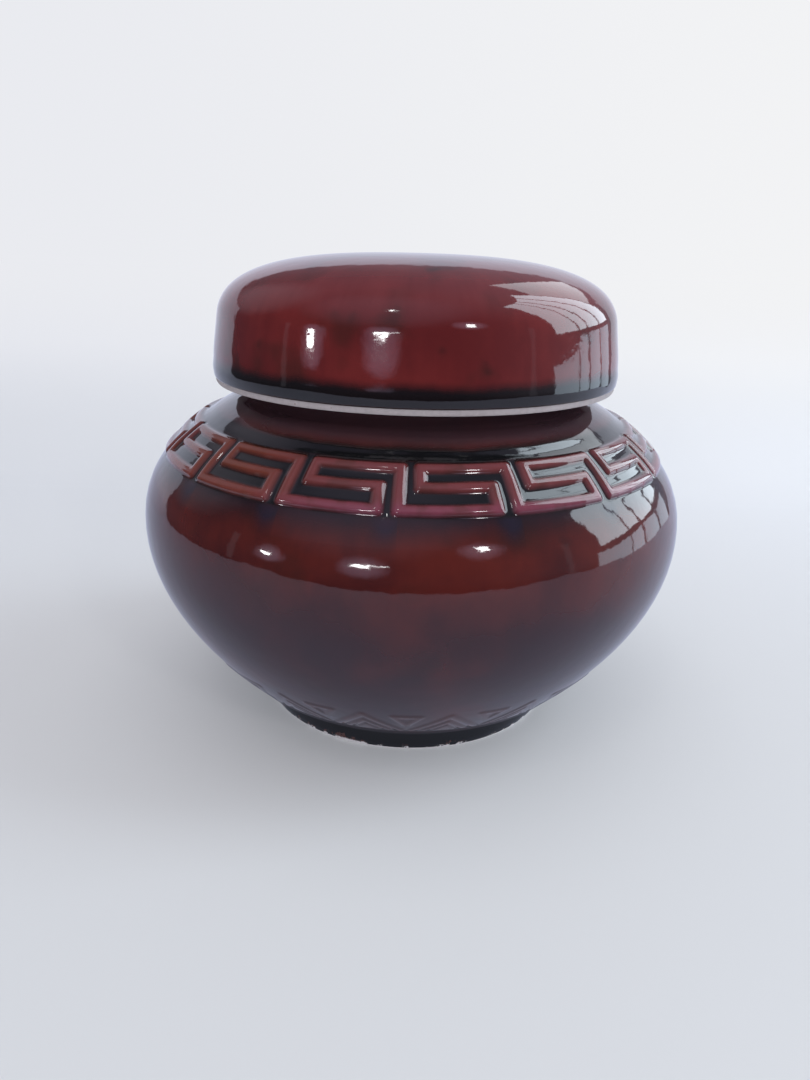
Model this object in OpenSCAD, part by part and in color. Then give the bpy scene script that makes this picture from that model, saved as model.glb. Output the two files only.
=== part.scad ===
// Lidded storage jar of fired clay: a round-bellied pot on a foot ring, with a straight
// neck, and a deep cap lid that sits on the neck's lip. Both are coated with fused glaze.
// Millimetres, +Z up, origin on the table under the middle of the foot.

/* [Jar wall] */
// Radius of the clay at the belly, the widest line
belly_r = 67.3; // [62:0.1:74]
// Height of the belly's widest line above the table
belly_z = 49.7; // [46:0.1:56]
// Drop below the belly at which the lower wall would close on the axis
hip_depth = 70.6; // [66:0.1:78]
// Fullness of the lower wall: 2 is a parabola, more is squarer
hip_power = 1.935; // [1.8:0.005:2.2]
// Rise above the belly at which the shoulder would close on the axis
shoulder_rise = 47; // [44:0.1:52]
// Fullness of the shoulder
shoulder_power = 2.4; // [2.2:0.05:2.8]
// Thickness of the clay wall
wall = 4.5; // [3.5:0.1:6]

/* [Foot] */
// Outer radius of the foot ring
foot_r = 38; // [34:0.1:40]
// Height of the upright part of the foot ring
foot_h = 4.4; // [3:0.1:5]
// Height at which the foot has flared out into the lower wall
flare_z = 8.4; // [7.5:0.1:9]
// Width of the ring that meets the table
foot_w = 6; // [4:0.1:10]
// Depth of the shallow recess inside the foot ring
recess = 2.6; // [1.5:0.1:3.5]
// Thickness of the clay floor above the recess
floor_t = 5.4; // [4:0.1:8]

/* [Neck] */
// Outer radius of the clay neck
neck_r = 40.8; // [39:0.1:42.5]
// Thickness of the neck's wall
neck_wall = 4; // [3:0.1:6]
// Height of the neck from the shoulder to the lip's flat top
neck_h = 21; // [19:0.1:26]
// How far the rolled lip stands out from the neck
lip_out = 1.4; // [0.8:0.1:2.5]
// Height of the rolled lip
lip_h = 5; // [4:0.1:8]

/* [Lid] */
// Free play between the glazed lip and the glazed inside of the skirt
lid_play = 1.8; // [1:0.1:3]
// Thickness of the skirt's clay at the rim
skirt_wall = 4.27; // [3.5:0.01:6]
// Depth from the seat inside the lid down to its rim
seat_depth = 19.56; // [16:0.01:20.5]
// Height of the clay lid from its rim to its crown
lid_h = 29.76; // [28:0.01:36]
// Height above the rim at which the skirt turns into the crown
knee_h = 16; // [14:0.1:18]
// How far the skirt draws in between the rim and the knee
skirt_taper = 1.4; // [0:0.1:2.5]
// Thickness of the clay at the middle of the crown
crown_t = 4.6; // [3.5:0.1:7]
// Width of the flat seat inside the lid that rests on the lip
seat_w = 4.5; // [3:0.1:6]

/* [Glaze] */
// Thickness of the fused glaze coat
glaze_t = 0.4; // [0.2:0.05:0.8]
// Height of the bare clay at the foot
bare_foot = 0.4; // [0.3:0.1:2]
// Height of the bare clay at the lid's rim
bare_rim = 1.4; // [0.5:0.1:3]

/* [Key-fret band] */
// Units of the fret round the shoulder
fret_count = 16; // [12:1:20]
// Height of the band's lower edge above the table
fret_z = 67.2; // [64:0.1:68.5]
// Width of the band, measured up the wall
fret_w = 11.8; // [10:0.1:13]
// Width of the raised line
fret_line = 2.1; // [1.5:0.1:2.8]
// How far the line stands out from the wall
fret_out = 0.8; // [0.4:0.1:1.2]
// Turn of the band, from the front to the nearest upright line
fret_turn = -2.3; // [-11:0.1:11]

/* [Petal band] */
// Petals round the foot of the wall
petal_count = 17; // [13:1:21]
// Height of the band's lower edge above the table
petal_z = 10.6; // [10:0.1:12]
// Height of a petal
petal_h = 9; // [7:0.1:11]
// Width of the raised outline of a petal
petal_line = 1.5; // [1:0.1:2]
// How far the petals stand out from the wall
petal_out = 0.5; // [0.3:0.1:0.8]
// Turn of the band, from the front to the nearest petal's point
petal_turn = -10.15; // [-12:0.05:12]

/* [Hidden] */

clay_colour = "#cbbba6";
glaze_colour = "#4b1712";

$fn = 96;
// Steps of each curved stretch of an outline
steps = 14;
// How far a relief line is rooted in the wall behind it
root = 1;

// Heights and radii that follow from the sizes above
neck_base_z = belly_z + shoulder_rise * pow(1 - neck_r / belly_r, 1 / shoulder_power);
lip_z = neck_base_z + neck_h;
lip_r = neck_r + lip_out;
mouth_r = neck_r - neck_wall;
floor_z = recess + floor_t;
seat_z = lip_z + 2 * glaze_t;
skirt_in_r = lip_r + 2 * glaze_t + lid_play;
rim_r = skirt_in_r + skirt_wall;
rim_z = seat_z - seat_depth;
crown_z = rim_z + lid_h;
knee_z = rim_z + knee_h;
knee_r = rim_r - skirt_taper;
seat_out_r = mouth_r + seat_w;

// Points of a cubic curve from a to d that leaves towards b and arrives from c
function curve(a, b, c, d, n = steps) =
    [for (i = [0:n]) let (t = i / n, s = 1 - t)
        s * s * s * a + 3 * s * s * t * b + 3 * s * t * t * c + t * t * t * d];

// Points of an outline moved outward by g, square to its run; the outline climbs
function grown(points, g) =
    [for (i = [0:len(points) - 1])
        let (run = points[min(i + 1, len(points) - 1)] - points[max(i - 1, 0)])
        points[i] + g * [run[1], -run[0]] / norm(run)];

// Radius of the clay wall at a height, from the flare of the foot to the neck
function wall_r(z) = z < belly_z
    ? belly_r * (1 - pow((belly_z - z) / hip_depth, hip_power))
    : belly_r * (1 - pow((z - belly_z) / shoulder_rise, shoulder_power));

// Point that stands out from the wall by g at a height
function wall_point(z, g = 0) =
    let (lean = (wall_r(z + 0.01) - wall_r(z - 0.01)) / 0.02)
    [wall_r(z), z] + g * [1, -lean] / norm([1, lean]);

// Distance up the shoulder from the fret's lower edge, and the height at such a distance
function up_wall(z) = (z - fret_z + wall_r(fret_z) - wall_r(z)) / sqrt(2);
function height_up(s, low = fret_z - 2, high = neck_base_z, n = 24) =
    let (mid = (low + high) / 2)
    n == 0 ? mid : up_wall(mid) < s ? height_up(s, mid, high, n - 1) : height_up(s, low, mid, n - 1);

// Outline of the jar from the foot up to the inner edge of the lip
fillet_r = neck_r + 3;
fillet_z = belly_z + shoulder_rise * pow(1 - fillet_r / belly_r, 1 / shoulder_power);
lip_round = 1.5;
foot_line = curve([foot_r, foot_h], [foot_r + 0.4, flare_z - 1.6],
                  wall_point(flare_z) - [2.2, 1.6], wall_point(flare_z), 6);
hip_line = [for (i = [1:steps]) wall_point(flare_z + (belly_z - flare_z) * i / steps)];
shoulder_line = [for (i = [1:steps]) wall_point(belly_z + (fillet_z - belly_z) * sin(90 * i / steps))];
neck_line = curve([fillet_r, fillet_z], [neck_r + 0.6, neck_base_z],
                  [neck_r, neck_base_z + 0.6], [neck_r, neck_base_z + 3.4], 5);
lip_line = curve([neck_r, lip_z - lip_h], [neck_r, lip_z - lip_h + 1.2],
                 [lip_r, lip_z - lip_h + 0.8], [lip_r, lip_z - lip_h + 2.2], 4);
lip_edge = [for (a = [0:18:90]) [lip_r - lip_round, lip_z - lip_round] + lip_round * [cos(a), sin(a)]];
jar_line = concat([[foot_r, 0]], foot_line, hip_line, shoulder_line,
                  [for (i = [1:5]) neck_line[i]], lip_line, lip_edge, [[mouth_r, lip_z]]);

// Outline of the lid from its rim up to the middle of its crown
skirt_line = curve([rim_r, rim_z + 0.5], [rim_r, rim_z + knee_h / 2],
                   [knee_r + 0.8, knee_z - knee_h / 2], [knee_r, knee_z], 8);
crown_line = curve([knee_r, knee_z], [knee_r - 1.1, crown_z - 0.4],
                   [0.37 * knee_r, crown_z], [0, crown_z], 18);
lid_line = concat([[rim_r - 0.5, rim_z]], skirt_line, [for (i = [1:18]) crown_line[i]]);

// Raised strip of the wall between two heights, standing out by g
module strip(low, high, g) {
    rise = (high - low) / 4;
    polygon(concat([for (i = [0:4]) wall_point(low + rise * i, g)],
                   [for (i = [4:-1:0]) wall_point(low + rise * i, -root)]));
}

// Prism that crosses the wall, its section given by width and height
module through_wall(points) {
    translate([foot_r - 4, 0, 0])
        rotate([90, 0, 90])
            linear_extrude(belly_r - foot_r)
                polygon(points);
}

// Point of the fret, by its angle from the middle of its prism and its distance up the wall
function fret_point(angle, s) = let (z = height_up(s)) [wall_r(z) * sin(angle), z];

// Raised line that runs right along the foot of the band, back along its middle and right along its top
module fret(g) {
    unit = 360 / fret_count;
    end = unit / 2;
    half = (fret_line / 2 + g) / wall_r(height_up(fret_w / 2)) * 180 / PI;
    right = 0.32 * unit;
    left = -0.32 * unit;
    foot_low = -g;
    foot_high = fret_line + g;
    mid_low = (fret_w - fret_line) / 2 - g;
    mid_high = (fret_w + fret_line) / 2 + g;
    top_low = fret_w - fret_line - g;
    top_high = fret_w + g;
    hook = [[-end, foot_low], [right + half, foot_low], [right + half, mid_high], [left + half, mid_high],
            [left + half, top_low], [end, top_low], [end, top_high], [left - half, top_high],
            [left - half, mid_low], [right - half, mid_low], [right - half, foot_high], [-end, foot_high]];
    // The uprights run just past the line's edges, so that no two faces lie in one plane
    upright = [[-half, foot_low - 0.1], [half, foot_low - 0.1], [half, top_high + 0.1], [-half, top_high + 0.1]];
    intersection() {
        rotate_extrude() strip(fret_z - 2, height_up(fret_w + 2), fret_out + g);
        for (k = [0:fret_count - 1]) {
            rotate([0, 0, fret_turn - 90 + (k + 0.5) * unit])
                through_wall([for (p = hook) fret_point(p[0], p[1])]);
            rotate([0, 0, fret_turn - 90 + k * unit])
                through_wall([for (p = upright) fret_point(p[0], p[1])]);
        }
    }
}

// Nested petals with an upside-down one between each pair
module petals(g) {
    unit = 360 / petal_count;
    half = 0.4 * 2 * PI * wall_r(petal_z) / petal_count + g;
    low = petal_z - g;
    high = petal_z + petal_h + 2 * g;
    inner = petal_line + 2 * g;
    intersection() {
        rotate_extrude() strip(low - 0.5, high + 0.5, petal_out + g);
        for (k = [0:petal_count - 1]) {
            rotate([0, 0, petal_turn - 90 + k * unit]) {
                through_wall([[-half, low], [-half + 1.6 * inner, low], [0, high - 1.4 * inner],
                              [half - 1.6 * inner, low], [half, low], [0, high]]);
                through_wall([[-0.36 * half, low], [0.36 * half, low], [0, low + 0.42 * petal_h]]);
            }
            rotate([0, 0, petal_turn - 90 + (k + 0.5) * unit])
                through_wall([[-0.52 * half, high - 0.9], [0, low + 0.3 * petal_h], [0.52 * half, high - 0.9]]);
        }
    }
}

// Fine raised line under the petals
module foot_bead(g) {
    rotate_extrude() strip(flare_z + 0.2 - g, flare_z + 1.1 + g, 0.35 + g);
}

// Jar as a solid, its surface moved outward by g
module jar_outside(g) {
    rotate_extrude() polygon(concat([[0, 0]], grown(jar_line, g), [[0, lip_z + g]]));
    fret(g);
    petals(g);
    foot_bead(g);
}

// Space inside the jar, drawn in by g on every side
module jar_inside(g) {
    in_r = belly_r - wall - g;
    hip = hip_depth - wall;
    rise = shoulder_rise - wall;
    corner_z = floor_z + 7;
    neck_z = belly_z + rise * pow(1 - (mouth_r - g) / in_r, 1 / shoulder_power);
    lower = [for (i = [0:steps]) let (z = corner_z + (belly_z - corner_z) * i / steps)
        [in_r * (1 - pow((belly_z - z) / hip, hip_power)), z]];
    upper = [for (i = [1:steps]) let (z = belly_z + (neck_z - belly_z) * sin(90 * i / steps))
        [in_r * (1 - pow((z - belly_z) / rise, shoulder_power)), z]];
    bottom = curve([0, floor_z + g], [lower[0][0] * 0.6, floor_z + g],
                   [lower[0][0] - 5, corner_z - 5], lower[0], 8);
    rotate_extrude()
        polygon(concat(bottom, [for (i = [1:steps]) lower[i]], upper,
                       [[mouth_r - g, lip_z + 5], [0, lip_z + 5]]));
}

// Shallow recess inside the foot ring
module foot_recess() {
    in_r = foot_r - foot_w;
    rotate_extrude()
        polygon([[0, -1], [in_r + 1, -1], [in_r, 0], [in_r - 1.2, recess], [0, recess]]);
}

// Lid as a solid, its surface moved outward by g
module lid_outside(g) {
    rotate_extrude() polygon(concat([[0, rim_z]], grown(lid_line, g), [[0, crown_z + g]]));
}

// Space inside the lid, drawn in by g on every side
module lid_inside(g) {
    in_r = skirt_in_r - g;
    seat = seat_z - g;
    ceiling = crown_z - crown_t - g;
    corner = curve([in_r, seat - 4], [in_r, seat - 0.8], [in_r - 0.8, seat], [seat_out_r, seat], 6);
    dome = curve([mouth_r - 1.6 - g, seat + 2.2], [mouth_r - 8, ceiling - 0.8],
                 [0.4 * mouth_r, ceiling], [0, ceiling], 10);
    rotate_extrude()
        polygon(concat([[0, rim_z - 1], [in_r, rim_z - 1]], corner, [[mouth_r - g, seat]], dome));
}

// Layer of the table below a height, wide enough for the whole jar
module below(z) {
    translate([0, 0, -10]) cylinder(r = belly_r + 20, h = z + 10);
}

module jar_clay() {
    color(clay_colour)
        difference() {
            jar_outside(0);
            jar_inside(0);
            foot_recess();
        }
}

module jar_glaze() {
    color(glaze_colour)
        difference() {
            jar_outside(glaze_t);
            difference() {
                jar_outside(0);
                jar_inside(0);
            }
            jar_inside(glaze_t);
            below(bare_foot);
        }
}

module lid_clay() {
    color(clay_colour)
        difference() {
            lid_outside(0);
            lid_inside(0);
        }
}

module lid_outer_glaze() {
    color(glaze_colour)
        difference() {
            lid_outside(glaze_t);
            lid_outside(0);
            below(rim_z + bare_rim);
        }
}

module lid_inner_glaze() {
    color(glaze_colour)
        difference() {
            lid_inside(0);
            lid_inside(glaze_t);
            below(rim_z + bare_rim);
        }
}

jar_clay();
jar_glaze();
lid_clay();
lid_outer_glaze();
lid_inner_glaze();
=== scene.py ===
"""Looks of a round-bellied glazed jar with a deep cap lid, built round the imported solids."""
import math
import bpy
from mathutils import Matrix, Vector


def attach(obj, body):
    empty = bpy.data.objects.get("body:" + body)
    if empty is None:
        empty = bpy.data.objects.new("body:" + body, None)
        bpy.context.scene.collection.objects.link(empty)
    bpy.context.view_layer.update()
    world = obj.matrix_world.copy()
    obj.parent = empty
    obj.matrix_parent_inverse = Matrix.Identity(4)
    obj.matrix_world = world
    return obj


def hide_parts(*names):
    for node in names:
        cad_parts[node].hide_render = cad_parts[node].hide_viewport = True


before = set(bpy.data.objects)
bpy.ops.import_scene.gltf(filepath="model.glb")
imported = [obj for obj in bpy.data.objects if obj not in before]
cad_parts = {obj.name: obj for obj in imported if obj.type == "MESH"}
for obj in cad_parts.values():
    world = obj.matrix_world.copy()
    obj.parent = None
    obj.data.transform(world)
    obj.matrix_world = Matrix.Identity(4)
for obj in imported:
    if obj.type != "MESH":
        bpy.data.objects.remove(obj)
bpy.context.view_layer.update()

MM = 0.001
TURN = 2 * math.pi

# Sizes of the jar in millimetres, the same as in the part's source
BELLY_R, BELLY_Z = 67.3, 49.7
HIP_DEPTH, HIP_POWER = 70.6, 1.935
SHOULDER_RISE, SHOULDER_POWER = 47.0, 2.4
WALL = 4.5
FOOT_R, FOOT_H, FLARE_Z, FOOT_W = 38.0, 4.4, 8.4, 6.0
RECESS, FLOOR_T = 2.6, 5.4
NECK_R, NECK_WALL, NECK_H = 40.8, 4.0, 21.0
LIP_OUT, LIP_H, LIP_ROUND = 1.4, 5.0, 1.5
LID_PLAY, SKIRT_WALL, SEAT_DEPTH = 1.8, 4.27, 19.56
LID_H, KNEE_H, SKIRT_TAPER, CROWN_T, SEAT_W = 29.76, 16.0, 1.4, 4.6, 4.5
GLAZE, BARE_FOOT, BARE_RIM = 0.4, 0.4, 1.4
FRET_UNITS, FRET_Z, FRET_W, FRET_LINE, FRET_TURN = 16, 67.2, 11.8, 2.1, -2.3
PETALS, PETAL_Z, PETAL_H, PETAL_TURN = 17, 10.6, 9.0, -10.15

# Forms of the coats that are left to the looks, in millimetres
BELOW_BAND_Z = 62.0                                    # the upper coat's mesh starts here
BEAD_Z, BEAD_HALF, BEAD_OUT = 9.3, 0.55, 0.35          # fine line above the foot
LEDGE_Z, LEDGE_HALF, LEDGE_IN = 76.3, 1.1, 0.10        # soft groove above the fret
ROLL_Z, ROLL_HALF, ROLL_OUT = 87.4, 2.2, 0.22          # glaze gathered above the lid's rim
BARREL_Z, BARREL_HALF, BARREL_OUT = 95.0, 8.5, 0.25    # slight swell of the lid's side
FRET_OUT, PETAL_OUT = 0.75, 0.2                        # how far the bands' lines stand out
FRET_SLOPE, PETAL_SLOPE = 1.15, 0.9                    # width of the slope beside a line's level top
FRET_BELT_R, PETAL_BELT_R = 57.2, 50.0                 # radius at which a band's unit is drawn flat
LEAN = 0.71                                            # the wall leans about 45 degrees at bead and ledge

# Columns of faces round each kind of piece
PETAL_COLUMNS, FRET_COLUMNS, LID_COLUMNS, PLAIN_COLUMNS = 960, 832, 512, 256

NECK_BASE_Z = BELLY_Z + SHOULDER_RISE * (1 - NECK_R / BELLY_R) ** (1 / SHOULDER_POWER)
LIP_Z = NECK_BASE_Z + NECK_H
LIP_R = NECK_R + LIP_OUT
MOUTH_R = NECK_R - NECK_WALL
FLOOR_Z = RECESS + FLOOR_T
SEAT_Z = LIP_Z + 2 * GLAZE
SKIRT_IN_R = LIP_R + 2 * GLAZE + LID_PLAY
RIM_R = SKIRT_IN_R + SKIRT_WALL
RIM_Z = SEAT_Z - SEAT_DEPTH
CROWN_Z = RIM_Z + LID_H
KNEE_Z = RIM_Z + KNEE_H
KNEE_R = RIM_R - SKIRT_TAPER
SEAT_OUT_R = MOUTH_R + SEAT_W


# Outlines: lists of (radius, height) in millimetres

def cubic(a, b, c, d, n):
    """Points of a cubic curve from a to d that leaves towards b and arrives from c."""
    points = []
    for i in range(n + 1):
        t = i / n
        s = 1 - t
        points.append(tuple(s * s * s * p + 3 * s * s * t * q + 3 * s * t * t * u + t * t * t * v
                            for p, q, u, v in zip(a, b, c, d)))
    return points


def wall_r(z):
    """Radius of the clay wall at a height."""
    if z < BELLY_Z:
        return BELLY_R * (1 - ((BELLY_Z - z) / HIP_DEPTH) ** HIP_POWER)
    return BELLY_R * (1 - ((z - BELLY_Z) / SHOULDER_RISE) ** SHOULDER_POWER)


def wall_point(z, g=0.0):
    """Point that stands out from the wall by g at a height."""
    lean = (wall_r(z + 0.01) - wall_r(z - 0.01)) / 0.02
    long = math.hypot(1, lean)
    return (wall_r(z) + g / long, z - g * lean / long)


def grown(points, g):
    """The outline moved outward by g, square to its run; it climbs on the outside."""
    moved = []
    for i, (r, z) in enumerate(points):
        (r0, z0), (r1, z1) = points[max(i - 1, 0)], points[min(i + 1, len(points) - 1)]
        long = math.hypot(r1 - r0, z1 - z0) or 1
        moved.append((max(r + g * (z1 - z0) / long, 0), z - g * (r1 - r0) / long))
    return moved


def spaced(points, step):
    """The same outline with points about one step apart, both ends kept."""
    lengths = [0.0]
    for (r0, z0), (r1, z1) in zip(points, points[1:]):
        lengths.append(lengths[-1] + math.hypot(r1 - r0, z1 - z0))
    count = max(1, round(lengths[-1] / step))
    out, k = [], 0
    for i in range(count + 1):
        want = lengths[-1] * i / count
        while k < len(points) - 2 and lengths[k + 1] < want:
            k += 1
        t = (want - lengths[k]) / ((lengths[k + 1] - lengths[k]) or 1)
        (r0, z0), (r1, z1) = points[k], points[k + 1]
        out.append((r0 + (r1 - r0) * t, z0 + (z1 - z0) * t))
    return out


def joined(*parts):
    """Outlines end to end, with doubled points left out."""
    out = []
    for part in parts:
        for p in part:
            if not out or math.dist(out[-1], p) > 1e-4:
                out.append(p)
    return out


def wall_run(low, high, g, step):
    """Stretch of the wall between two heights, standing out by g."""
    n = max(8, int((high - low) * 4))
    return spaced([wall_point(low + (high - low) * i / n, g) for i in range(n + 1)], step)


FILLET_R = NECK_R + 3
FILLET_Z = BELLY_Z + SHOULDER_RISE * (1 - FILLET_R / BELLY_R) ** (1 / SHOULDER_POWER)


def foot_flare(g):
    """From the foot ring's upright side out into the lower wall."""
    r, z = wall_point(FLARE_Z)
    return grown(cubic((FOOT_R, FOOT_H), (FOOT_R + 0.4, FLARE_Z - 1.6), (r - 2.2, z - 1.6), (r, z), 24), g)


def neck_and_lip(g):
    """From the shoulder up the neck and round the rolled lip to its flat top."""
    neck = cubic((FILLET_R, FILLET_Z), (NECK_R + 0.6, NECK_BASE_Z), (NECK_R, NECK_BASE_Z + 0.6),
                 (NECK_R, NECK_BASE_Z + 3.4), 12)
    roll = cubic((NECK_R, LIP_Z - LIP_H), (NECK_R, LIP_Z - LIP_H + 1.2),
                 (LIP_R, LIP_Z - LIP_H + 0.8), (LIP_R, LIP_Z - LIP_H + 2.2), 10)
    edge = [(LIP_R - LIP_ROUND + LIP_ROUND * math.cos(a * TURN / 40), LIP_Z - LIP_ROUND
             + LIP_ROUND * math.sin(a * TURN / 40)) for a in range(11)]
    line = joined(neck, [(NECK_R, LIP_Z - LIP_H - 2)], roll, edge)
    return grown(line, g)


def inside_run(g, step):
    """The jar's inside from the mouth down to the middle of the floor, drawn in by g."""
    in_r, hip, rise = BELLY_R - WALL - g, HIP_DEPTH - WALL, SHOULDER_RISE - WALL
    corner = FLOOR_Z + 7
    neck = BELLY_Z + rise * (1 - (MOUTH_R - g) / in_r) ** (1 / SHOULDER_POWER)
    lower = [(in_r * (1 - ((BELLY_Z - z) / hip) ** HIP_POWER), z)
             for z in [corner + (BELLY_Z - corner) * i / 40 for i in range(41)]]
    upper = [(in_r * (1 - ((z - BELLY_Z) / rise) ** SHOULDER_POWER), z)
             for z in [BELLY_Z + (neck - BELLY_Z) * math.sin(TURN / 4 * i / 40) for i in range(1, 41)]]
    r0 = lower[0][0]
    bottom = cubic((0, FLOOR_Z + g), (r0 * 0.6, FLOOR_Z + g), (r0 - 5, corner - 5), lower[0], 24)
    climb = joined(bottom, lower, upper, [(MOUTH_R - g, LIP_Z - 6)])
    return spaced(climb, step)[::-1]


def lid_skin(g):
    """The lid's outside from its rim to the middle of its crown."""
    skirt = cubic((RIM_R, RIM_Z + 0.5), (RIM_R, RIM_Z + KNEE_H / 2), (KNEE_R + 0.8, KNEE_Z - KNEE_H / 2),
                  (KNEE_R, KNEE_Z), 24)
    crown = cubic((KNEE_R, KNEE_Z), (KNEE_R - 1.1, CROWN_Z - 0.4), (0.37 * KNEE_R, CROWN_Z), (0, CROWN_Z), 60)
    return grown(joined(skirt, crown), g)


def lid_hollow(g):
    """The lid's inside from the rim up over the seat to the middle of the ceiling, drawn in by g."""
    in_r, seat, ceiling = SKIRT_IN_R - g, SEAT_Z - g, CROWN_Z - CROWN_T - g
    corner = cubic((in_r, seat - 4), (in_r, seat - 0.8), (in_r - 0.8, seat), (SEAT_OUT_R, seat), 10)
    dome = cubic((MOUTH_R - 1.6 - g, seat + 2.2), (MOUTH_R - 8, ceiling - 0.8), (0.4 * MOUTH_R, ceiling),
                 (0, ceiling), 24)
    return joined(corner, [(MOUTH_R - g, seat)], dome)


# Node helpers

class Wire:
    """A socket that takes part in sums; each sum adds a Math node."""

    def __init__(self, tree, socket):
        self.tree, self.socket = tree, socket

    def sum(self, operation, *others):
        return self.tree.add("ShaderNodeMath", {"operation": operation}, dict(enumerate((self,) + others)))

    def flipped(self, operation, other):
        return self.tree.add("ShaderNodeMath", {"operation": operation}, {0: other, 1: self})

    def __add__(self, other):
        return self.sum("ADD", other)

    def __sub__(self, other):
        return self.sum("SUBTRACT", other)

    def __mul__(self, other):
        return self.sum("MULTIPLY", other)

    def __truediv__(self, other):
        return self.sum("DIVIDE", other)

    def __rsub__(self, other):
        return self.flipped("SUBTRACT", other)

    def __rtruediv__(self, other):
        return self.flipped("DIVIDE", other)

    __radd__ = __add__
    __rmul__ = __mul__

    def least(self, other):
        return self.sum("MINIMUM", other)

    def most(self, other):
        return self.sum("MAXIMUM", other)

    def above(self, other):
        return self.sum("GREATER_THAN", other)

    def ease(self, start, end):
        """0 before start, 1 after end, smooth between; start may be the larger."""
        return self.tree.add("ShaderNodeMapRange", {"interpolation_type": "SMOOTHSTEP"},
                             {"Value": self, "From Min": start, "From Max": end})

    def hump(self, middle, width):
        """1 at the middle, falling smoothly to 0 at a width to either side."""
        return (self - middle).sum("ABSOLUTE").ease(width, 0)


class Tree:
    """Adds nodes to a tree by type, settings and socket values."""

    def __init__(self, graph):
        self.graph = graph

    def add(self, kind, settings=None, sockets=None, out=0):
        node = self.graph.nodes.new(kind)
        for name, value in (settings or {}).items():
            setattr(node, name, value)
        for name, value in (sockets or {}).items():
            if isinstance(value, Wire):
                self.graph.links.new(value.socket, node.inputs[name])
            else:
                node.inputs[name].default_value = value
        return Wire(self, node.outputs[out])

    def connect(self, wire, node, name):
        self.graph.links.new(wire.socket, node.inputs[name])

    def parts(self, vector):
        """X, Y and Z of a vector."""
        node = self.add("ShaderNodeSeparateXYZ", None, {0: vector}).socket.node
        return [Wire(self, node.outputs[k]) for k in range(3)]

    def point(self, x, y, z):
        return self.add("ShaderNodeCombineXYZ", None, {0: x, 1: y, 2: z})

    def mix(self, amount, first, second):
        """One colour turning into another."""
        node = self.graph.nodes.new("ShaderNodeMix")
        node.data_type = "RGBA"
        for index, value in ((0, amount), (6, first), (7, second)):
            if isinstance(value, Wire):
                self.graph.links.new(value.socket, node.inputs[index])
            else:
                node.inputs[index].default_value = value if index == 0 else (*value, 1)
        return Wire(self, node.outputs[2])


# Turned pieces: one Geometry Nodes tree turns an outline and raises a band of lines on it

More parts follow.
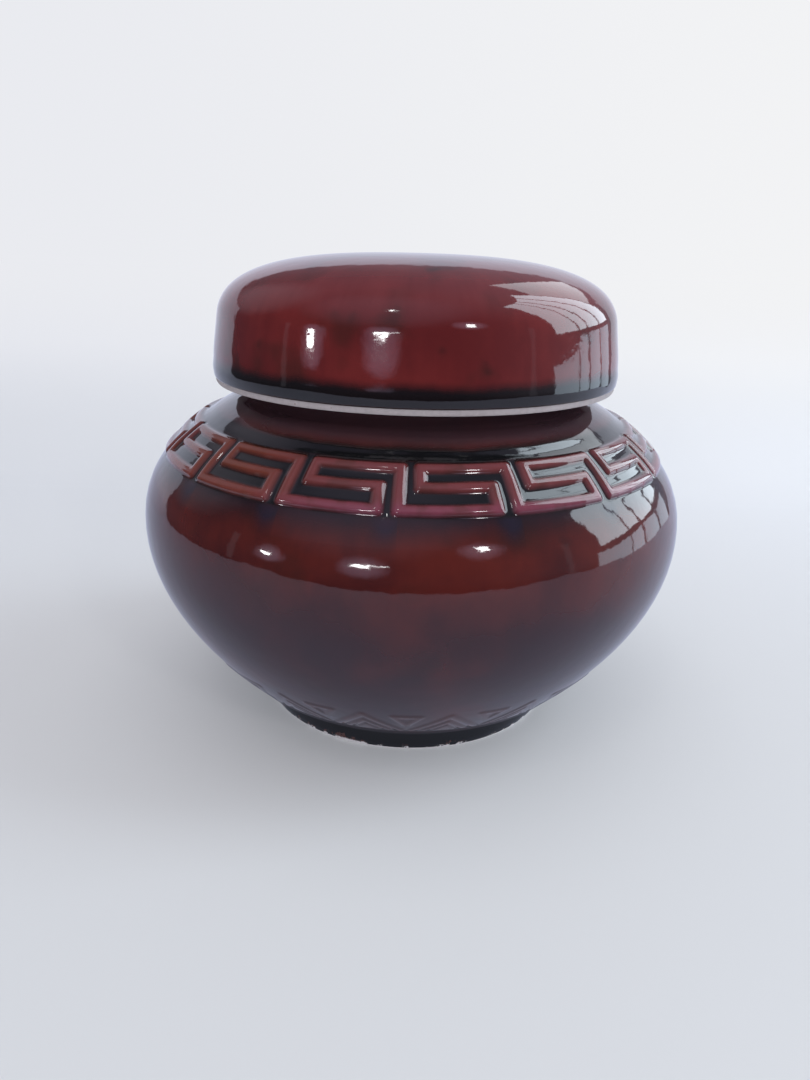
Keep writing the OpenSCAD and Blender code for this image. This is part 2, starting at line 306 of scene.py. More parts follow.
def turning_tree():
    """Turns an outline into a closed skin. A unit of lines, drawn flat, repeats round it and stands out."""
    tree = bpy.data.node_groups.new("turned_skin", "GeometryNodeTree")
    ids = {}
    for name, kind, default in (
            ("Outline", "Object", None), ("Columns", "Int", 256), ("Rows", "Int", 16),
            ("Line Unit", "Object", None), ("Units", "Int", 16), ("Belt", "Float", 0.36),
            ("Turn", "Float", 0.0), ("Height", "Float", 0.0), ("Slope", "Float", 0.001),
            ("Finish", "Material", None)):
        socket = tree.interface.new_socket(name=name, in_out="INPUT", socket_type="NodeSocket" + kind)
        if default is not None:
            socket.default_value = default
        ids[name] = socket.identifier
    tree.interface.new_socket(name="Skin", in_out="OUTPUT", socket_type="NodeSocketGeometry")
    t = Tree(tree)
    group = tree.nodes.new("NodeGroupInput")
    given = {name: Wire(t, group.outputs[name]) for name in ids}

    grid = t.add("GeometryNodeMeshGrid", None, {"Size X": 1.0, "Size Y": 1.0, "Vertices Y": given["Rows"],
                                                "Vertices X": given["Columns"] + 1})
    where = t.add("GeometryNodeInputPosition")
    x, y, _ = t.parts(where)
    angle = (x + 0.5) * TURN
    row = ((y + 0.5) * (given["Rows"] - 1)).sum("ROUND")
    outline = t.add("GeometryNodeObjectInfo", None, {"Object": given["Outline"]}, out="Geometry")

    def on_outline(kind, value):
        return t.add("GeometryNodeSampleIndex", {"data_type": kind, "clamp": True},
                     {"Geometry": outline, "Value": value, "Index": row})

    def named(kind, name):
        return t.add("GeometryNodeInputNamedAttribute", {"data_type": kind}, {"Name": name})

    radius, _, height = t.parts(on_outline("FLOAT_VECTOR", where))
    face_r, _, face_z = t.parts(on_outline("FLOAT_VECTOR", named("FLOAT_VECTOR", "facing")))
    along = on_outline("FLOAT", named("FLOAT", "along"))
    shown = on_outline("FLOAT", named("FLOAT", "shown"))

    # The unit's copies lie side by side on a flat belt, and each point of the skin is looked up on it
    unit_length = given["Belt"] / given["Units"]
    line = t.add("GeometryNodeMeshLine", None, {"Count": given["Units"] + 2,
                                                "Start Location": t.point(unit_length * -1, 0, 0),
                                                "Offset": t.point(unit_length, 0, 0)})
    drawn = t.add("GeometryNodeObjectInfo", None, {"Object": given["Line Unit"]}, out="Geometry")
    copies = t.add("GeometryNodeInstanceOnPoints", None, {"Points": line, "Instance": drawn})
    flat = t.add("GeometryNodeRealizeInstances", None, {"Geometry": copies})
    on_belt = t.point((angle - given["Turn"]) * given["Belt"] / TURN, along, 0)
    gap = t.add("GeometryNodeProximity", {"target_element": "FACES"},
                {"Geometry": flat, "Sample Position": on_belt}, out="Distance")
    raised = shown * given["Height"] * gap.ease(given["Slope"], 0)
    out_r = radius + raised * face_r
    spot = t.point(out_r * angle.sum("COSINE"), out_r * angle.sum("SINE"), height + raised * face_z)

    skin = grid
    for name, value in (("line_gap", gap / MM), ("shown", shown)):
        skin = t.add("GeometryNodeStoreNamedAttribute", {"data_type": "FLOAT"},
                     {"Geometry": skin, "Name": name, "Value": value})
    skin = t.add("GeometryNodeSetPosition", None, {"Geometry": skin, "Position": spot})
    skin = t.add("GeometryNodeMergeByDistance", None, {"Geometry": skin, "Distance": 1e-6})
    skin = t.add("GeometryNodeSetShadeSmooth", {"domain": "FACE"}, {"Geometry": skin, "Shade Smooth": True})
    corner = t.add("GeometryNodeInputMeshEdgeAngle").above(math.radians(38))
    skin = t.add("GeometryNodeSetShadeSmooth", {"domain": "EDGE"},
                 {"Geometry": skin, "Selection": corner, "Shade Smooth": False})
    skin = t.add("GeometryNodeRealizeInstances", None, {"Geometry": skin})
    skin = t.add("GeometryNodeSetMaterial", None, {"Geometry": skin, "Material": given["Finish"]})
    tree.links.new(skin.socket, tree.nodes.new("NodeGroupOutput").inputs[0])
    return tree, ids


SKIN_TREE, SKIN_IDS = turning_tree()


def mesh_object(name, points, faces=(), edges=()):
    mesh = bpy.data.meshes.new(name)
    mesh.from_pydata(points, list(edges), list(faces))
    thing = bpy.data.objects.new(name, mesh)
    bpy.context.scene.collection.objects.link(thing)
    return thing


def drawn_lines(name, strips, areas=()):
    """Flat drawing of a band's unit in millimetres: strips are (points, half width), areas are filled."""
    points, faces = [], []
    for line, half in strips:
        for (x0, y0), (x1, y1) in zip(line, line[1:]):
            long = math.dist((x0, y0), (x1, y1))
            ex, ey = (x1 - x0) / long * half, (y1 - y0) / long * half
            n = len(points)
            points += [(x0 - ex + ey, y0 - ey - ex), (x1 + ex + ey, y1 + ey - ex),
                       (x1 + ex - ey, y1 + ey + ex), (x0 - ex - ey, y0 - ey + ex)]
            faces.append((n, n + 1, n + 2, n + 3))
    for area in areas:
        n = len(points)
        points += area
        faces.append(tuple(range(n, n + len(area))))
    return mesh_object(name, [(x * MM, y * MM, 0) for x, y in points], faces)


def turned(name, body, covers, finish, columns, parts, lines=None, units=1, turn=0.0, belt_r=50.0,
           height=0.0, slope=1.0, start=None):
    """Piece turned from an outline that climbs on its outer side. parts are (points, shown), in mm."""
    rows, shown = [], []
    for part, seen in parts:
        for p in part:
            if not rows or math.dist(rows[-1], p) > 1e-4:
                rows.append(p)
                shown.append(float(seen))
    ring = rows[0][0] > 1e-6
    if ring:
        rows.append(rows[0])
        shown.append(shown[0])
    last = len(rows) - 1
    outline = mesh_object(name + "_outline", [(r * MM, 0, z * MM) for r, z in rows],
                          edges=[(i, i + 1) for i in range(last)])
    facing, along, length = [], [], 0.0
    zero = 0.0
    for i, (r, z) in enumerate(rows):
        before = rows[i - 1] if i else (rows[last - 1] if ring else rows[0])
        after = rows[i + 1] if i < last else (rows[1] if ring else rows[last])
        run = math.dist(before, after) or 1
        facing += [(after[1] - before[1]) / run, 0, -(after[0] - before[0]) / run]
        if i:
            length += math.dist(rows[i - 1], (r, z))
            if start is not None and rows[i - 1][1] <= start < z and shown[i]:
                zero = length - (z - start) / (z - rows[i - 1][1]) * math.dist(rows[i - 1], (r, z))
        along.append(length)
    mesh = outline.data
    mesh.attributes.new("facing", "FLOAT_VECTOR", "POINT").data.foreach_set("vector", facing)
    mesh.attributes.new("along", "FLOAT", "POINT").data.foreach_set("value", [(a - zero) * MM for a in along])
    mesh.attributes.new("shown", "FLOAT", "POINT").data.foreach_set("value", shown)

    holder = mesh_object(name + "_turning", [(0, 0, 0)])
    turning = holder.modifiers.new("turning", "NODES")
    turning.node_group = SKIN_TREE
    for key, value in {"Outline": outline, "Columns": columns, "Rows": len(rows), "Line Unit": lines,
                       "Units": units, "Belt": TURN * belt_r * MM, "Turn": math.radians(turn),
                       "Height": height * MM, "Slope": slope * MM, "Finish": finish}.items():
        if value is not None:
            turning[SKIN_IDS[key]] = value
    depsgraph = bpy.context.evaluated_depsgraph_get()
    made = bpy.data.meshes.new_from_object(holder.evaluated_get(depsgraph))
    made.name = name
    piece = bpy.data.objects.new(name, made)
    bpy.context.scene.collection.objects.link(piece)
    for helper in (holder, outline):
        bpy.data.objects.remove(helper)
    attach(piece, body)
    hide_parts(*covers)
    return piece


# Colours, as light reflected out of 1; of the reds the first is thick glaze and the second thin
JAR_REDS = (0.050, 0.0075, 0.0070), (0.098, 0.0132, 0.0092)
LID_REDS = (0.105, 0.0110, 0.0115), (0.160, 0.0180, 0.0170)
INSIDE_REDS = (0.050, 0.0075, 0.0070), (0.105, 0.0140, 0.0095)
PAINTED_LID_SHADE = (0.056, 0.0350, 0.0450)
BROWN_DRIFT = (0.035, 0.0100, 0.0070)
LOW_PAINTED_SHADE = (0.021, 0.0060, 0.0110)
BREAK_RED = (0.172, 0.0420, 0.0450)
ROSE_SHEEN = (0.215, 0.0520, 0.0850)
BREAK_ORANGE = (0.170, 0.0400, 0.0180)
BREAK_BROWN = (0.070, 0.0260, 0.0170)
PETAL_BREAK = (0.078, 0.0260, 0.0250)
CHIP_BROWN = (0.100, 0.0450, 0.0400)
LID_BLACK = (0.0030, 0.0032, 0.0040)
BLACK_GLAZE = (0.0052, 0.0055, 0.0064)
BLUE_BLACK = (0.0140, 0.0120, 0.0300)
RIM_BROWN = (0.050, 0.030, 0.030)
CLAY_COLOUR = (0.52, 0.465, 0.475)
CLAY_SHADE = (0.42, 0.37, 0.38)
WORN_AND_LIT_CLAY = (0.90, 0.87, 0.89)
IRON_SPECK = (0.20, 0.12, 0.09)
TABLE_GREY = (0.76, 0.76, 0.765)
TABLE_PAINTED_GLOW = (0.60, 0.615, 0.665)
WALL_SHADED_LEFT = (0.82, 0.83, 0.87)
WALL_LIT_RIGHT = (0.89, 0.895, 0.91)

# Heights in millimetres over which one tone of the glaze, or of painted shade or sheen, gives way to the next
BAND_FOOT, BAND_HEAD = (66.2, 67.0), (76.2, 75.2)
HALO_LOW, HALO_HIGH = 61.0, 67.6
DRIP_FOOT, DRIP_HEAD = (60.0, 66.5), (69.0, 68.0)
ROSE_SHEEN_BELOW = (70.6, 67.6)
SHOULDER_FOOT, SHOULDER_HEAD = (76.5, 79.5), (87.0, 83.0)
LOW_SHADE_HEIGHTS = (60.0, 38.0)
HIP_DARKENS = (24.0, 9.0)
PETALS_HEAD, PETALS_FOOT = (21.0, 20.0), (9.4, 10.2)
FOOT_BLACK_TOP, FOOT_BLACK_FULL = 9.6, 8.2
LID_FRINGE = (85.8, 85.4)
LID_BLACK_TOP = 89.9
LID_KNEE, LID_KNEE_HALF = 106.5, 5.0

# Where in a unit of the fret the gap to the next unit lies, and the angle of the largest chip
GAP_AT, GAP_HALF = 0.91, 0.16
CHIP_ANGLE, CHIP_HALF = math.radians(-109), 0.2


# Finishes

def new_finish(name):
    """A new material with its tree and shader."""
    material = bpy.data.materials.new(name)
    material.use_nodes = True
    t = Tree(material.node_tree)
    shader = next(n for n in material.node_tree.nodes if n.type == "BSDF_PRINCIPLED")
    return material, t, shader


class Coat:
    """Places, in millimetres, and noises that the glaze's tones are worked out from."""

    def __init__(self, t):
        self.t = t
        metres = t.add("ShaderNodeTexCoord", out="Object")
        self.place = t.add("ShaderNodeVectorMath", {"operation": "SCALE"}, {0: metres, "Scale": 1 / MM})
        self.x, self.y, self.z = t.parts(self.place)
        radius = (self.x * self.x + self.y * self.y).sum("SQRT").most(1.0)
        self.round_x, self.round_y = self.x / radius, self.y / radius
        self.clouds = self.noise(self.place, 0.05)
        self.cloudlets = self.noise(self.place, 0.17)
        self.streaks = self.noise(self.on_ring(20, 0.10), 1.0, 3.0)
        self.grain = self.noise(self.place, 1.6)
        self.wave = self.noise(self.on_ring(3.2, 0), 1.0) - 0.5

    def noise(self, at, scale, detail=2.0, rough=0.5):
        return self.t.add("ShaderNodeTexNoise", None, {"Vector": at, "Scale": scale, "Detail": detail,
                                                       "Roughness": rough})

    def on_ring(self, size, climb):
        """Place on a ring: the larger it is, the faster a noise changes round the jar."""
        return self.t.point(self.round_x * size, self.round_y * size, self.z * climb)


def jar_tones(coat, red):
    """The jar's outer coat: its colour, and where it has chipped off."""
    t, x, z, wave = coat.t, coat.x, coat.z, coat.wave
    angle = coat.y.sum("ARCTAN2", x)
    line_gap = t.add("ShaderNodeAttribute", {"attribute_name": "line_gap"}, out="Fac")
    ridge = (line_gap + (coat.cloudlets - 0.5) * 0.5).ease(1.3, 0.0)

    # Black pools between the fret's lines and in the ledge above, and drips under the gaps between units
    in_band = z.ease(*BAND_FOOT) * z.ease(*BAND_HEAD)
    unit_phase = ((angle - math.radians(FRET_TURN - 90)) * (FRET_UNITS / TURN)).sum("FRACT")
    between = unit_phase.hump(GAP_AT, GAP_HALF)
    ledge = (z - (LEDGE_Z + wave * 1.4)).sum("ABSOLUTE").ease(1.9, 0.6)
    halo = z.ease(HALO_LOW - between * 2.0 + wave * 3.0, HALO_HIGH)
    drip = (halo + between * z.ease(*DRIP_FOOT) * 0.35).least(1.0) * z.ease(*DRIP_HEAD)
    pool = (in_band * (1 - ridge)).most(ledge).most(drip * (1 - ridge) * (0.7 + coat.cloudlets * 0.4))
    pool = pool.most(z.ease(FOOT_BLACK_TOP + wave, FOOT_BLACK_FULL))
    # Below the hip the coat darkens half way to black towards the foot
    pool = pool.most(z.ease(*HIP_DARKENS) * 0.5).least(1.0)
    dark = t.mix(drip * (1 - in_band) * (0.25 + between * 0.35), BLACK_GLAZE, BLUE_BLACK)

    # The shoulder under the lid is painted duller and browner, painted shade and a painted reflection of the
    # lid, and below the belly the red is darker and purpler
    red = t.mix(z.ease(*SHOULDER_FOOT) * z.ease(*SHOULDER_HEAD) * 0.75, red, PAINTED_LID_SHADE)
    # Below the belly: painted shade of the lower body, which faces down, and a painted reflection of the
    # bluish table
    red = t.mix(z.ease(*LOW_SHADE_HEIGHTS) * (0.92 - coat.clouds.ease(0.42, 0.72) * 0.36), red, LOW_PAINTED_SHADE)
    colour = t.mix(pool, red, dark)

    # The raised lines break to warmer tones, more orange towards the left; the lowest line turns rose, a
    # painted sheen
    fret_tone = t.mix(z.ease(*ROSE_SHEEN_BELOW), BREAK_RED, ROSE_SHEEN)
    fret_tone = t.mix(coat.cloudlets.ease(0.48, 0.66) * 0.45, fret_tone, BREAK_BROWN)
    fret_tone = t.mix(x.ease(-12, -38) * coat.clouds.ease(0.35, 0.5) * 0.8, fret_tone, BREAK_ORANGE)
    fret_line = ridge * in_band
    petal_line = ridge * z.ease(*PETALS_HEAD) * z.ease(*PETALS_FOOT)
    colour = t.mix(fret_line * (0.75 + coat.grain * 0.2), colour, fret_tone)
    colour = t.mix(petal_line * 0.6, colour, PETAL_BREAK)

    # A few ragged chips at the foot's edge show brown and, at the very bottom, worn clay
    ragged = coat.noise(coat.on_ring(38, 0.8), 0.5, 4.0, 0.7)
    chip_top = (ragged - 0.56 + angle.hump(CHIP_ANGLE, CHIP_HALF) * 0.13) * 14
    chip = (z - chip_top).ease(0.6, 0.3)
    bare = t.mix((z + coat.grain).ease(1.6, 1.2), CHIP_BROWN, WORN_AND_LIT_CLAY)
    return t.mix(chip, colour, bare), chip


def lid_tones(coat, red):
    """The lid's outer coat: warm at its knee, black where it gathers, brown where it ends; no chips."""
    t, z = coat.t, coat.z
    knee = z.hump(LID_KNEE, LID_KNEE_HALF)
    red = t.mix(knee * (0.25 + coat.streaks * 0.3), red, BREAK_RED)
    edge_z = LID_BLACK_TOP + coat.wave * 2.2 + (coat.streaks - 0.5) * 0.8
    colour = t.mix((z - edge_z).ease(1.3, -1.5) * 0.98, red, LID_BLACK)
    return t.mix(z.ease(*LID_FRINGE) * 0.5, colour, RIM_BROWN), None


def glaze(name, reds, tones=None):
    """Glossy red-brown glaze with thin and thick drifts; tones adds what is a coat's own, and the jar's
    painted shade and painted sheen.
    """
    material, t, shader = new_finish(name)
    coat = Coat(t)
    drift = coat.clouds * 0.65 + coat.cloudlets * 0.2 + coat.streaks * 0.15
    colour = t.mix(drift.ease(0.36, 0.66), *reds)
    colour = t.mix(coat.cloudlets.ease(0.60, 0.78) * coat.clouds.ease(0.55, 0.36) * 0.45, colour, BLACK_GLAZE)
    colour = t.mix(coat.noise(coat.place, 0.085).ease(0.50, 0.72) * 0.6, colour, BROWN_DRIFT)
    rough = 0.035 + coat.grain * 0.02 + coat.cloudlets * 0.025
    if tones is not None:
        colour, chip = tones(coat, colour)
        if chip is not None:
            rough = rough + chip * 0.5
    t.connect(colour, shader, "Base Color")
    t.connect(rough, shader, "Roughness")
    shader.inputs["IOR"].default_value = 1.54
    dimple = coat.noise(coat.place, 0.30, 2.0, 0.4) * 0.7 + coat.noise(coat.place, 1.1, 1.0) * 0.08
    bump = t.add("ShaderNodeBump", None, {"Strength": 0.17, "Distance": 0.0003, "Height": dimple})
    t.connect(bump, shader, "Normal")
    return material


def clay(name):
    """Bare fired clay: matt, fine grained, with iron specks."""
    material, t, shader = new_finish(name)
    place = t.add("ShaderNodeTexCoord", out="Object")
    grain = t.add("ShaderNodeTexNoise", None,
                  {"Vector": place, "Scale": 900.0, "Detail": 5.0, "Roughness": 0.65})
    patch = t.add("ShaderNodeTexNoise", None, {"Vector": place, "Scale": 90.0, "Detail": 2.0})
    speck = t.add("ShaderNodeTexVoronoi", None, {"Vector": place, "Scale": 700.0}, out="Distance")
    speck = speck.ease(0.17, 0.10)
    _, _, z = t.parts(place)
    colour = t.mix(grain.ease(0.35, 0.7) * 0.6 + patch * 0.3, CLAY_COLOUR, CLAY_SHADE)
    # The foot's bottom edge turns pale: worn clay, and painted light that lifts it out of the contact shadow
    colour = t.mix(z.ease(1.4 * MM, 0.9 * MM), colour, WORN_AND_LIT_CLAY)
    t.connect(t.mix(speck * patch.ease(0.5, 0.7) * 0.7, colour, IRON_SPECK), shader, "Base Color")
    t.connect(0.78 + grain * 0.15, shader, "Roughness")
    bump = t.add("ShaderNodeBump", None, {"Strength": 0.5, "Distance": 0.00012, "Height": grain})
    t.connect(bump, shader, "Normal")
    return material


jar_finish = glaze("jar_glaze_finish", JAR_REDS, jar_tones)
lid_finish = glaze("lid_glaze_finish", LID_REDS, lid_tones)
inner_finish = glaze("inner_glaze_finish", INSIDE_REDS)
clay_finish = clay("fired_clay_finish")

# Flat drawings of one unit of each band, its lines given by the half width of their level tops

fret_length = TURN * FRET_BELT_R / FRET_UNITS
low_line, middle_line, high_line = FRET_LINE / 2, 6.15, FRET_W - FRET_LINE / 2
right, left = 0.82 * fret_length, 0.18 * fret_length
fret_unit = drawn_lines("fret_unit", [([
    (0, high_line), (0, low_line), (right, low_line), (right, middle_line), (left, middle_line),
    (left, high_line), (fret_length, high_line)], 0.42)])

petal_length = TURN * PETAL_BELT_R / PETALS
petal_up = math.hypot(PETAL_H, wall_r(PETAL_Z + PETAL_H) - wall_r(PETAL_Z))
half, fan = 0.42 * petal_length, petal_length / 2
petal_unit = drawn_lines("petal_unit", [
    ([(-half, 0.6), (0, petal_up - 1.2), (half, 0.6)], 0.35),
    ([(-0.62 * half, 0.6), (0, 0.62 * petal_up - 0.6), (0.62 * half, 0.6)], 0.25),
    ([(fan - 0.34 * half, petal_up - 1.3), (fan, 0.42 * petal_up), (fan + 0.34 * half, petal_up - 1.3),
      (fan - 0.34 * half, petal_up - 1.3)], 0.3)],
    [[(-0.3 * half, 0.4), (0.3 * half, 0.4), (0, 0.34 * petal_up)]])


def first_copy(turn, units):
    """Angle in degrees where a band's first copy starts; five units on, the copies cover the whole ring."""
    return turn - 90 + 5 * 360 / units


# The jar

def swell(z, middle, half_height):
    """1 at a middle height, falling to 0 at half the height above and below it."""
    return max(0.0, 1 - ((z - middle) / half_height) ** 2)


def with_bead(points):
    """Raises the fine line above the foot."""
    out = []
    for r, z in points:
        lift = BEAD_OUT * max(0.0, 1 - abs(z - BEAD_Z) / BEAD_HALF)
        out.append((r + lift * LEAN, z - lift * LEAN))
    return out


def with_ledge(points):
    """Presses the soft groove into the coat above the fret."""
    out = []
    for r, z in points:
        dip = LEDGE_IN * swell(z, LEDGE_Z, LEDGE_HALF) ** 2
        out.append((r - dip * LEAN, z - dip * LEAN))
    return out


def glaze_end(r, z):
    """Rounded lower end of an outside coat on an upright wall."""
    return [(r, z), (r + 0.2, z + 0.02), (r + 0.34, z + 0.14), (r + GLAZE, z + 0.4)]


def thin_end(r, z):
    """Lower end of a coat that thins out towards the foot."""
    return [(r, z), (r + 0.05, z + 0.03), (r + 0.15, z + 0.4), (r + 0.28, z + 0.9), (r + GLAZE, z + 1.6)]


def mouth_edge(g):
    """From the lip's flat top in over the mouth's edge and 6 mm down."""
    r, z = MOUTH_R - g, LIP_Z + g
    return [(r + 0.5, z), (r + 0.15, z - 0.04), (r + 0.03, z - 0.16), (r, z - 0.5), (r, LIP_Z - 6)]


lower_front = joined(
    thin_end(FOOT_R, BARE_FOOT), spaced([(FOOT_R + GLAZE, BARE_FOOT + 1.6), (FOOT_R + GLAZE, FOOT_H)], 1.0),
    spaced(foot_flare(GLAZE), 0.7), with_bead(wall_run(FLARE_Z + 0.1, 10.2, GLAZE, 0.3)),
    wall_run(10.2, 21.0, GLAZE, 0.5), wall_run(21.0, 61.4, GLAZE, 3.2),
    wall_run(61.4, BELOW_BAND_Z, GLAZE, 0.2))
lower_back = joined(spaced([(FOOT_R, BARE_FOOT), (FOOT_R, FOOT_H)], 2.0), spaced(foot_flare(0), 1.2),
                    wall_run(FLARE_Z, BELOW_BAND_Z, 0, 5.0))[::-1]
turned("jar_glaze_below", "jar", ["jar_glaze"], jar_finish, PETAL_COLUMNS,
       [(lower_front, True), (lower_back, False)], petal_unit, PETALS, first_copy(PETAL_TURN, PETALS),
       PETAL_BELT_R, PETAL_OUT, PETAL_SLOPE, PETAL_Z)

FILLET_LOW = FILLET_Z - 0.02
top = neck_and_lip(GLAZE)
upper_front = joined(
    wall_run(BELOW_BAND_Z, 62.4, GLAZE, 0.2), wall_run(62.4, 66.4, GLAZE, 1.2),
    with_ledge(wall_run(66.4, 77.8, GLAZE, 0.385)), wall_run(77.8, FILLET_LOW, GLAZE, 1.0),
    spaced(top, 1.1), spaced([top[-1], (MOUTH_R + 0.3, LIP_Z + GLAZE)], 1.6), mouth_edge(GLAZE))
upper_back = joined([(MOUTH_R, LIP_Z - 6), (MOUTH_R, LIP_Z)], spaced(neck_and_lip(0), 3.0)[::-1],
                    wall_run(BELOW_BAND_Z, FILLET_LOW, 0, 4.0)[::-1])
turned("jar_glaze_above", "jar", ["jar_glaze"], jar_finish, FRET_COLUMNS,
       [(upper_front, True), (upper_back, False)], fret_unit, FRET_UNITS, first_copy(FRET_TURN, FRET_UNITS),
       FRET_BELT_R, FRET_OUT, FRET_SLOPE, FRET_Z)

turned("jar_glaze_inside", "jar", ["jar_glaze"], inner_finish, PLAIN_COLUMNS,
       [(inside_run(0, 4.0)[::-1], False), (inside_run(GLAZE, 2.5), True)])

foot_in = FOOT_R - FOOT_W
foot_ring = [
    (0, RECESS), (foot_in * 0.5, RECESS), (foot_in - 1.6, RECESS), (foot_in - 1.2, RECESS - 0.3),
    (foot_in - 0.2, 0.4), (foot_in + 0.3, 0.0), (FOOT_R - 3, 0.0), (FOOT_R - 0.5, 0.0), (FOOT_R - 0.15, 0.12),
    (FOOT_R, 0.45), (FOOT_R, FOOT_H)]
clay_line = joined(
    foot_ring, spaced(foot_flare(0), 1.2), wall_run(FLARE_Z, FILLET_LOW, 0, 3.0),
    spaced(neck_and_lip(0), 1.5), [(MOUTH_R, LIP_Z), (MOUTH_R, LIP_Z - 6)], inside_run(0, 3.0))
turned("jar_clay_body", "jar", ["jar_clay"], clay_finish, PLAIN_COLUMNS, [(clay_line, True)])


# The lid

def with_roll_and_barrel(points):
    """Gathers the glaze above the lid's rim and swells the lid's side a little."""
    out = []
    for r, z in points:
        roll = ROLL_OUT * swell(z, ROLL_Z, ROLL_HALF) ** 2
        out.append((r + roll + BARREL_OUT * swell(z, BARREL_Z, BARREL_HALF), z))
    return out


coat_foot = RIM_Z + BARE_RIM
skirt_up = [p for p in lid_skin(GLAZE) if p[1] > coat_foot + 0.5]
clay_up = [p for p in lid_skin(0) if p[1] > coat_foot + 0.1]
lid_front = with_roll_and_barrel(joined(
    glaze_end(RIM_R - 0.01, coat_foot), spaced(joined([(RIM_R + GLAZE, coat_foot + 0.5)], skirt_up), 1.0)))
lid_back = joined([(RIM_R - 0.01, coat_foot)], spaced(clay_up, 3.0))[::-1]
turned("lid_glaze_outside", "lid", ["lid_outer_glaze"], lid_finish, LID_COLUMNS,
       [(lid_back, False), (lid_front, True)])

inner_line = lid_hollow(GLAZE)[::-1]
inner_front = joined(
    spaced(inner_line, 1.0), spaced([inner_line[-1], (SKIRT_IN_R - GLAZE, coat_foot + 0.4)], 3.0),
    [(SKIRT_IN_R - 0.34, coat_foot + 0.14), (SKIRT_IN_R - 0.2, coat_foot + 0.02)])
inner_back = joined(
    [(SKIRT_IN_R, coat_foot)], spaced([(SKIRT_IN_R, coat_foot), (SKIRT_IN_R, SEAT_Z - 4)], 5.0),
    spaced(lid_hollow(0), 1.5))
turned("lid_glaze_inside", "lid", ["lid_inner_glaze"], inner_finish, PLAIN_COLUMNS,
       [(inner_front, True), (inner_back, False)])

skirt_in = [(SKIRT_IN_R, SEAT_Z - 8), (SKIRT_IN_R, coat_foot + 2), (SKIRT_IN_R, RIM_Z + 0.4)]
rim = [(SKIRT_IN_R + 0.12, RIM_Z + 0.12), (SKIRT_IN_R + 0.4, RIM_Z), (SKIRT_IN_R + 1.5, RIM_Z),
       (RIM_R - 1.6, RIM_Z), (RIM_R - 0.6, RIM_Z), (RIM_R - 0.2, RIM_Z + 0.12), (RIM_R, RIM_Z + 0.5)]
lid_clay_line = joined(spaced(lid_hollow(0), 1.5)[::-1], skirt_in, rim, spaced(lid_skin(0), 1.5))
turned("lid_clay_body", "lid", ["lid_clay"], clay_finish, LID_COLUMNS, [(lid_clay_line, True)])

for drawing in (fret_unit, petal_unit):
    bpy.data.objects.remove(drawing)


# Table, wall and light

def stage_finish():
    """Pale matt sheet. Up the wall it shows to the camera and in reflections as painted; on the floor a
    smaller share glows, painted light in the shadow.
    """
    material, t, shader = new_finish("stage_finish")
    place = t.add("ShaderNodeTexCoord", out="Object")
    x, y, z = t.parts(place)
    rays = t.add("ShaderNodeLightPath").socket.node
    mirrored = Wire(t, rays.outputs["Is Glossy Ray"])
    cloud = t.add("ShaderNodeTexNoise", None, {"Vector": place, "Scale": 6.0, "Detail": 2.0})
    # The wall is painted lighter to the right: painted light from the window's side
    white = t.mix(x.ease(-0.25, 0.25), WALL_SHADED_LEFT, WALL_LIT_RIGHT)

    # Under plain light the floor turns into the wall, painted lighter towards the back and the right: painted
    # light from the window's side. Where it is mirrored it is painted dimmer and bluer, painted shade in its
    # reflections
    floor = t.mix(cloud * 0.1, TABLE_GREY, tuple(c * 0.92 for c in TABLE_GREY))
    floor = t.mix(y.ease(-0.05, 0.24) * (0.22 + x.ease(-0.10, 0.20) * 0.78), floor, white)
    floor = t.mix(z.ease(0.0, 0.08), floor, white)
    bluer = t.mix(mirrored, (1.0, 1.0, 1.0), (0.78, 0.81, 1.0))
    lit = t.add("ShaderNodeVectorMath", {"operation": "MULTIPLY"}, {0: floor, 1: bluer})
    t.connect(lit, shader, "Base Color")
    shader.inputs["Roughness"].default_value = 0.6
    shader.inputs["Specular IOR Level"].default_value = 0.3

    # The share that shines as painted grows up the wall; on the floor its share of 0.28 is painted light that
    # lightens the shadow. Mirrored, the glow is painted dimmer in the middle and brighter and bluer to the
    # sides: painted shade and light in reflections
    mirrored_shading = t.mix(x.sum("ABSOLUTE").ease(0.02, 0.16), (0.82, 0.86, 1.0), (0.98, 1.02, 1.18))
    dimmer = t.mix(mirrored, (1.0, 1.0, 1.0), mirrored_shading)
    painted = t.mix(z.ease(0.0, 0.06), TABLE_PAINTED_GLOW, white)
    shine = t.add("ShaderNodeVectorMath", {"operation": "MULTIPLY"}, {0: painted, 1: dimmer})
    glow = t.add("ShaderNodeEmission", None, {"Color": shine})
    share = Wire(t, rays.outputs["Is Camera Ray"]).most(mirrored) * (z.ease(0.001, 0.10) * 0.72 + 0.28)
    mixed = t.add("ShaderNodeMixShader", None, {0: share, 1: Wire(t, shader.outputs[0]), 2: glow})
    end = next(n for n in material.node_tree.nodes if n.type == "OUTPUT_MATERIAL")
    t.connect(mixed, end, "Surface")
    return material


def sheet(name, left, right, profile):
    """Sheet that spans left to right and follows a profile of (y, z) points."""
    points = [(x, y, z) for y, z in profile for x in (left, right)]
    faces = [(n, n + 1, n + 3, n + 2) for n in range(0, len(points) - 2, 2)]
    thing = mesh_object(name, points, faces)
    for face in thing.data.polygons:
        face.use_smooth = True
    thing.data.materials.append(stage_material)


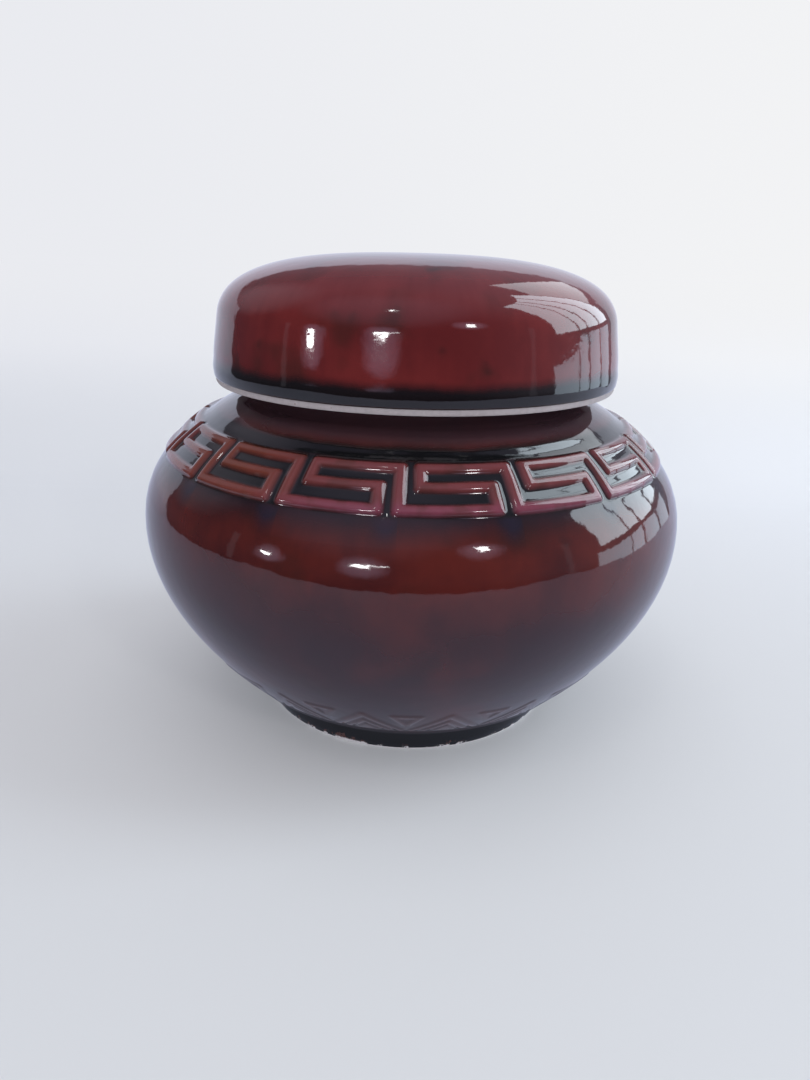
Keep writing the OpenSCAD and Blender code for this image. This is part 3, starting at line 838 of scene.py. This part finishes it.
TABLE_FRONT, WALL_Y, WALL_TOP, SWEEP = -0.36, 0.30, 0.26, 0.12
stage_material = stage_finish()
bend = [(WALL_Y - SWEEP + SWEEP * math.sin(a), SWEEP - SWEEP * math.cos(a))
        for a in (math.radians(3 * k) for k in range(31))]
sheet("table", -0.6, 0.6, [(TABLE_FRONT, 0), (WALL_Y - SWEEP, 0)])
sheet("table_right", 0.32, 0.6, [(WALL_Y - SWEEP, 0), (WALL_Y, 0)])
sheet("sweep", -0.6, 0.32, bend + [(WALL_Y, WALL_TOP)])


def panel(name, azimuth, elevation, distance, width, height, radiance, tint=(1, 1, 1), mirrored=True):
    """Area lamp that faces the jar; azimuth 0 is in front and 90 on the right. Radiance 1 shows as white."""
    a, e = math.radians(azimuth), math.radians(elevation)
    aim = Vector((math.sin(a) * math.cos(e), -math.cos(a) * math.cos(e), math.sin(e)))
    lamp = bpy.data.lights.new(name, "AREA")
    lamp.shape = "RECTANGLE"
    lamp.size, lamp.size_y = width, height
    lamp.energy = radiance * width * height * math.pi
    lamp.color = tint
    thing = bpy.data.objects.new(name, lamp)
    thing.location = Vector((0, 0, 0.06)) + aim * distance
    thing.rotation_mode = "QUATERNION"
    thing.rotation_quaternion = aim.to_track_quat("Z", "Y")
    thing.visible_glossy = mirrored
    bpy.context.scene.collection.objects.link(thing)
    return thing


def pane(name, left, right, low, high, radiance, tint, lights):
    """Upright pane given by its edges' azimuths and elevations. Unless it lights, it only shows mirrored."""
    far = 1.2
    middle, half = math.radians((left + right) / 2), math.radians((right - left) / 2)
    bottom, top = far * math.tan(math.radians(low)), far * math.tan(math.radians(high))
    lamp = panel(name, math.degrees(middle), 0, far, 2 * far * math.tan(half), top - bottom, radiance, tint)
    lamp.location.z += (bottom + top) / 2
    lamp.visible_diffuse = lights


# Window panes: azimuths of both edges, and how bright the high and the low pane are
SKY, SILL = (0.79, 0.91, 1.0), (0.70, 0.85, 1.0)
WINDOW = ((80, 97, 4.8, 2.5), (98, 106, 5.0, 2.7), (107.5, 118.5, 5.0, 2.2), (120, 131, 4.8, 1.6))
for k, (left, right, high_light, low_light) in enumerate(WINDOW):
    pane("window_high_%d" % k, left, right, 8, 58, high_light, SKY, k < 2)
    pane("window_low_%d" % k, left - 2 * (k == 0), right, -8, 4.5, low_light, SILL, False)
pane("bright_wall", 132, 158, 27, 52, 1.9, (0.86, 0.94, 1.0), False)
pane("edge_right", 62.5, 65.5, -5, 18, 0.2, (0.9, 0.88, 1.0), False)
pane("edge_left", -74, -71, -4, 14, 0.25, (0.9, 0.88, 1.0), False)
panel("lamp_left", -57, 9, 1.2, 0.08, 0.04, 45)
panel("lamp_front", -18.5, 12, 1.2, 0.14, 0.042, 45)
panel("lamp_front_bar", -12, 13, 1.2, 0.15, 0.014, 18)
panel("lamp_high", -19, 58, 1.2, 0.05, 0.06, 30)
panel("lamp_right", 30.5, 28, 1.2, 0.09, 0.14, 30)
panel("ceiling", 0, 85, 1.4, 1.3, 1.3, 0.85, (1.0, 0.99, 0.97), mirrored=False)
panel("fill_front", -5, 48, 1.4, 1.2, 0.8, 0.8, (1.0, 0.98, 0.97), mirrored=False)

# The room: pale to the camera, even for plain light, and in reflections dim in front and lighter at the sides
world = bpy.data.worlds.new("room")
world.use_nodes = True
bpy.context.scene.world = world
room = Tree(world.node_tree)
back = next(n for n in world.node_tree.nodes if n.type == "BACKGROUND")
rays = room.add("ShaderNodeLightPath").socket.node
across, depth, rise = room.parts(room.add("ShaderNodeTexCoord", out="Generated"))
side_light = (across * 0.8 + depth * 0.5).ease(-0.3, 1.0)


def toward(azimuth, elevation):
    """How nearly a direction points there, 1 when it does."""
    a, e = math.radians(azimuth), math.radians(elevation)
    return across * (math.sin(a) * math.cos(e)) - depth * (math.cos(a) * math.cos(e)) + rise * math.sin(e)


mirrored = room.mix(side_light, (0.10, 0.095, 0.125), (0.34, 0.33, 0.41))
mirrored = room.mix(toward(-25, 55).ease(0.72, 1.0) * 0.5, mirrored, (0.78, 0.70, 0.92))
mirrored = room.mix(toward(-117, 34).ease(0.88, 1.0) * 0.45, mirrored, (0.80, 0.74, 0.88))
mirrored = room.mix(rise.ease(0.5, 1.0) * 0.2, mirrored, (0.42, 0.38, 0.60))
mirrored = room.mix(rise.ease(0.0, -0.15) * 0.6, mirrored, (0.05, 0.05, 0.06))
for azimuth, elevation, spread in ((-57, 8.5, 8), (-18.5, 11, 12), (30.5, 28, 11)):
    halo = toward(azimuth, elevation).ease(math.cos(math.radians(spread)), 1.0)
    mirrored = room.mix(halo, mirrored, (1.15, 0.95, 1.35))
even = room.mix(Wire(room, rays.outputs["Is Glossy Ray"]), (0.415, 0.43, 0.48), mirrored)
room.connect(room.mix(Wire(room, rays.outputs["Is Camera Ray"]), even, (0.86, 0.86, 0.89)), back, "Color")
back.inputs["Strength"].default_value = 1.0
bpy.context.scene.view_settings.view_transform = "Standard"

# Camera

CAMERA_AT = (0.0, -0.2139, 0.1163)
PITCH, YAW, ROLL = 0.34047, -0.00644, 0.02758
forward = Vector((math.sin(YAW) * math.cos(PITCH), math.cos(YAW) * math.cos(PITCH), -math.sin(PITCH)))
level = Vector((math.cos(YAW), -math.sin(YAW), 0))
upright = level.cross(forward)
side = level * math.cos(ROLL) + upright * math.sin(ROLL)
up = upright * math.cos(ROLL) - level * math.sin(ROLL)
camera = bpy.data.objects.new("camera", bpy.data.cameras.new("camera"))
camera.data.lens, camera.data.sensor_width = 28.0, 36.0
camera.data.clip_start = 0.01
camera.matrix_world = Matrix.Translation(CAMERA_AT) @ Matrix((side, up, -forward)).transposed().to_4x4()
bpy.context.scene.collection.objects.link(camera)
bpy.context.scene.camera = camera
